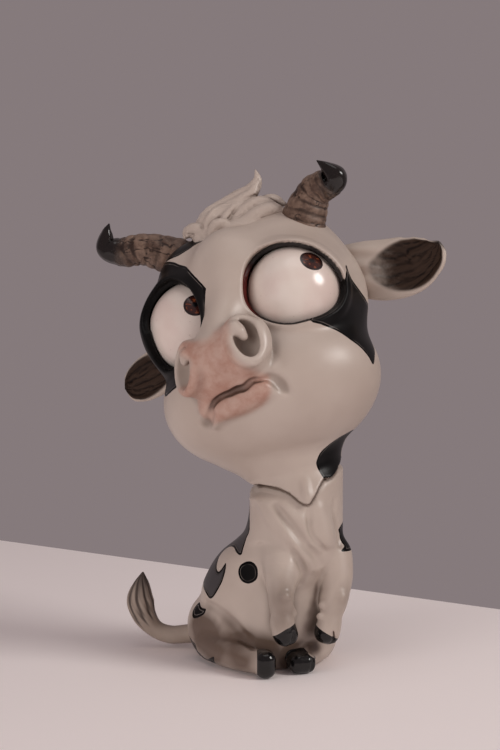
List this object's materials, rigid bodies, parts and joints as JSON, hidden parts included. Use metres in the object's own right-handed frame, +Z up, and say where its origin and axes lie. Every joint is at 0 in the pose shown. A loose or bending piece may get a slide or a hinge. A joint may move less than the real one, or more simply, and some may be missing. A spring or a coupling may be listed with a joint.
{
  "type": "nodding cow figurine",
  "caption": "Small seated cow ornament with a large tilted head that nods on a spring in the neck, bulging eyeballs, horns and a curled tail.",
  "frame": {"origin": "centre of the flat base, on the surface the figurine stands on", "axes": "+Z up, the animal's body faces -Y, and its left side is +X"},
  "size_m": [0.0818, 0.092, 0.1565],
  "materials": {
    "body": "hand-painted satin cast resin, off-white with charcoal patches",
    "head": "hand-painted satin cast resin, off-white with charcoal patches",
    "tail": "grooved cast resin with a dark wash",
    "horns": "ridged cast resin, tan with a dark wash and glossy black tips",
    "ears": "satin cast resin, dark grooved inside",
    "hair": "satin cast resin with combed locks",
    "eyeballs": "glossy lacquered white with painted irises",
    "spring": "bright spring wire",
    "spring_seat": "moulded",
    "plug": "soft matt rubber"
  },
  "bodies": {
    "torso": {"body_shell": "body", "tail": "tail", "base_plug": "plug", "neck_spring_cup": "spring_seat"},
    "spring_lower": {"neck_spring_lower_half": "spring"},
    "spring_upper": {"neck_spring_upper_half": "spring"},
    "head": {"head_spring_plug": "spring_seat", "head_front_shell": "head", "head_back_shell": "head", "right_eyeball": "eyeballs", "left_eyeball": "eyeballs", "right_horn": "horns", "left_horn": "horns", "right_ear": "ears", "left_ear": "ears", "forelock": "hair"}
  },
  "joints": [
    {"name": "head_nod", "type": "hinge", "parent": "torso", "child": "spring_lower", "pos_m": [0.0086, -0.012, 0.0484], "axis": [1, 0, 0], "range_deg": [-6, 6], "stiffness_Nm_per_rad": 0.35, "springref_deg": 4.68, "deforming": ["neck_spring_lower_half"]},
    {"name": "head_tilt", "type": "hinge", "parent": "spring_lower", "child": "spring_upper", "pos_m": [0.0086, -0.012, 0.0484], "axis": [0, 1, 0], "range_deg": [-6, 6], "stiffness_Nm_per_rad": 0.35, "springref_deg": 4.36, "deforming": ["neck_spring_upper_half"]},
    {"name": "head_turn", "type": "hinge", "parent": "spring_upper", "child": "head", "pos_m": [0.0086, -0.012, 0.0484], "axis": [0, 0, 1], "range_deg": [-8, 8], "stiffness_Nm_per_rad": 0.25}
  ]
}
